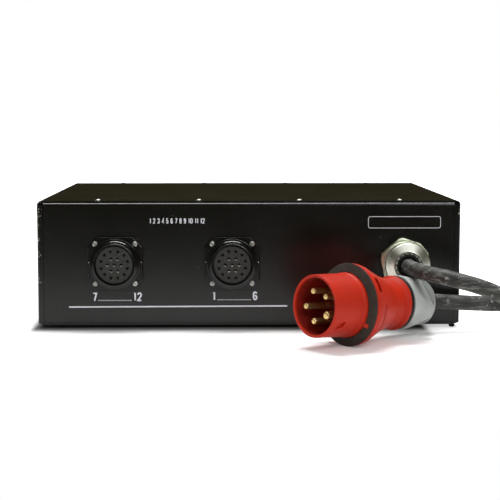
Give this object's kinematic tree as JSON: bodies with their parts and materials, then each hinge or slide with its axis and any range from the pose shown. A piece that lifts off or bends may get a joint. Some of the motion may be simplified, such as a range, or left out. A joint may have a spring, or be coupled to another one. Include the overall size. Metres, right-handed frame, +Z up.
{
  "type": "dimmer pack",
  "caption": "Boxed stage dimmer with round multi-pin load sockets, a breaker row, display, fan and a coiled mains cord that ends in a round red industrial plug.",
  "frame": {"origin": "on the floor under the middle of the pack's footprint, its cord left out", "axes": "+X to the right of the socket panel, +Y from the socket panel to the control panel, +Z up"},
  "size_m": [0.6927, 0.5328, 0.1335],
  "materials": {
    "case_paint": "satin black paint, lightly scuffed",
    "rubber_black": "matt black rubber",
    "socket_black": "black semi-gloss moulding",
    "insert_grey": "matt dark grey moulding",
    "nickel": "nickel-plated brass",
    "cord_rubber": "matt grey-black rubber sheath, scuffed",
    "plug_red": "red moulding",
    "plug_grey": "light grey moulding",
    "pin_brass": "bright brass",
    "breaker_white": "off-white moulding",
    "lever_blue": "blue moulding",
    "zinc_steel": "zinc-plated steel",
    "board_green": "green circuit board",
    "display_dark": "dark red filter window",
    "fan_black": "black moulding",
    "button_rubber": "matt black",
    "sink_aluminium": "plain extruded aluminium",
    "choke_copper": "enamelled copper winding"
  },
  "bodies": {
    "pack": {"base_tray": "case_paint", "top_cover": "case_paint", "foot_front_left": "rubber_black", "foot_front_right": "rubber_black", "foot_rear_left": "rubber_black", "foot_rear_right": "rubber_black", "load_socket_a_shell": "socket_black", "load_socket_b_shell": "socket_black", "load_socket_a_insert": "insert_grey", "load_socket_b_insert": "insert_grey", "gland_body": "nickel", "gland_dome_nut": "nickel", "gland_locknut": "nickel", "gland_seal": "rubber_black", "cord_from_gland": "cord_rubber", "cord_coil": "cord_rubber", "cord_to_plug": "cord_rubber", "plug_shroud": "plug_red", "plug_housing": "plug_red", "plug_gasket": "rubber_black", "plug_seal": "rubber_black", "plug_nut": "plug_grey", "breaker_bank_left": "breaker_white", "breaker_bank_right": "breaker_white", "breaker_rail": "zinc_steel", "control_board": "board_green", "display_window": "display_dark", "data_inlet": "socket_black", "data_outlet": "socket_black", "fan_frame": "fan_black", "fan_guard": "zinc_steel", "heatsink": "sink_aluminium", "power_module_front": "board_green", "power_module_rear": "board_green", "choke_bank_left": "choke_copper", "choke_bank_right": "choke_copper", "terminal_block": "insert_grey", "plug_pin_l1": "pin_brass", "plug_pin_l2": "pin_brass", "plug_pin_l3": "pin_brass", "plug_pin_earth": "pin_brass", "plug_pin_neutral": "pin_brass"},
    "breaker_lever_01": {"breaker_lever_01": "lever_blue"},
    "breaker_lever_02": {"breaker_lever_02": "lever_blue"},
    "breaker_lever_03": {"breaker_lever_03": "lever_blue"},
    "breaker_lever_04": {"breaker_lever_04": "lever_blue"},
    "breaker_lever_05": {"breaker_lever_05": "lever_blue"},
    "breaker_lever_06": {"breaker_lever_06": "lever_blue"},
    "breaker_lever_07": {"breaker_lever_07": "lever_blue"},
    "breaker_lever_08": {"breaker_lever_08": "lever_blue"},
    "breaker_lever_09": {"breaker_lever_09": "lever_blue"},
    "breaker_lever_10": {"breaker_lever_10": "lever_blue"},
    "breaker_lever_11": {"breaker_lever_11": "lever_blue"},
    "breaker_lever_12": {"breaker_lever_12": "lever_blue"},
    "button_menu": {"button_menu": "button_rubber"},
    "button_up": {"button_up": "button_rubber"},
    "button_down": {"button_down": "button_rubber"},
    "button_enter": {"button_enter": "button_rubber"},
    "data_outlet_latch": {"data_outlet_latch": "zinc_steel"},
    "fan_rotor": {"fan_rotor": "fan_black"}
  },
  "joints": [
    {"name": "breaker_lever_01_toggle", "type": "hinge", "parent": "pack", "child": "breaker_lever_01", "pos_m": [-0.19415, 0.18686, 0.0685], "axis": [1, 0, 0], "range_deg": [-84, 0]},
    {"name": "breaker_lever_02_toggle", "type": "hinge", "parent": "pack", "child": "breaker_lever_02", "pos_m": [-0.17645, 0.18686, 0.0685], "axis": [1, 0, 0], "range_deg": [-84, 0]},
    {"name": "breaker_lever_03_toggle", "type": "hinge", "parent": "pack", "child": "breaker_lever_03", "pos_m": [-0.15875, 0.18686, 0.0685], "axis": [1, 0, 0], "range_deg": [-84, 0]},
    {"name": "breaker_lever_04_toggle", "type": "hinge", "parent": "pack", "child": "breaker_lever_04", "pos_m": [-0.14105, 0.18686, 0.0685], "axis": [1, 0, 0], "range_deg": [-84, 0]},
    {"name": "breaker_lever_05_toggle", "type": "hinge", "parent": "pack", "child": "breaker_lever_05", "pos_m": [-0.12335, 0.18686, 0.0685], "axis": [1, 0, 0], "range_deg": [-84, 0]},
    {"name": "breaker_lever_06_toggle", "type": "hinge", "parent": "pack", "child": "breaker_lever_06", "pos_m": [-0.10565, 0.18686, 0.0685], "axis": [1, 0, 0], "range_deg": [-84, 0]},
    {"name": "breaker_lever_07_toggle", "type": "hinge", "parent": "pack", "child": "breaker_lever_07", "pos_m": [-0.08795, 0.18686, 0.0685], "axis": [1, 0, 0], "range_deg": [-84, 0]},
    {"name": "breaker_lever_08_toggle", "type": "hinge", "parent": "pack", "child": "breaker_lever_08", "pos_m": [-0.07025, 0.18686, 0.0685], "axis": [1, 0, 0], "range_deg": [-84, 0]},
    {"name": "breaker_lever_09_toggle", "type": "hinge", "parent": "pack", "child": "breaker_lever_09", "pos_m": [-0.05255, 0.18686, 0.0685], "axis": [1, 0, 0], "range_deg": [-84, 0]},
    {"name": "breaker_lever_10_toggle", "type": "hinge", "parent": "pack", "child": "breaker_lever_10", "pos_m": [-0.03485, 0.18686, 0.0685], "axis": [1, 0, 0], "range_deg": [-84, 0]},
    {"name": "breaker_lever_11_toggle", "type": "hinge", "parent": "pack", "child": "breaker_lever_11", "pos_m": [-0.01715, 0.18686, 0.0685], "axis": [1, 0, 0], "range_deg": [-84, 0]},
    {"name": "breaker_lever_12_toggle", "type": "hinge", "parent": "pack", "child": "breaker_lever_12", "pos_m": [0.00055, 0.18686, 0.0685], "axis": [1, 0, 0], "range_deg": [-84, 0]},
    {"name": "button_menu_press", "type": "slide", "parent": "pack", "child": "button_menu", "axis": [0, -1, 0], "range_m": [0, 0.0015], "stiffness_N_per_m": 400, "springref_m": -0.0005},
    {"name": "button_up_press", "type": "slide", "parent": "pack", "child": "button_up", "axis": [0, -1, 0], "range_m": [0, 0.0015], "stiffness_N_per_m": 400, "springref_m": -0.0005},
    {"name": "button_down_press", "type": "slide", "parent": "pack", "child": "button_down", "axis": [0, -1, 0], "range_m": [0, 0.0015], "stiffness_N_per_m": 400, "springref_m": -0.0005},
    {"name": "button_enter_press", "type": "slide", "parent": "pack", "child": "button_enter", "axis": [0, -1, 0], "range_m": [0, 0.0015], "stiffness_N_per_m": 400, "springref_m": -0.0005},
    {"name": "data_outlet_latch_press", "type": "slide", "parent": "pack", "child": "data_outlet_latch", "axis": [0, -1, 0], "range_m": [0, 0.0015], "stiffness_N_per_m": 400, "springref_m": -0.0005},
    {"name": "fan_rotor_spin", "type": "hinge", "parent": "pack", "child": "fan_rotor", "pos_m": [0.16, 0.17436, 0.0685], "axis": [0, 1, 0], "continuous": true}
  ]
}
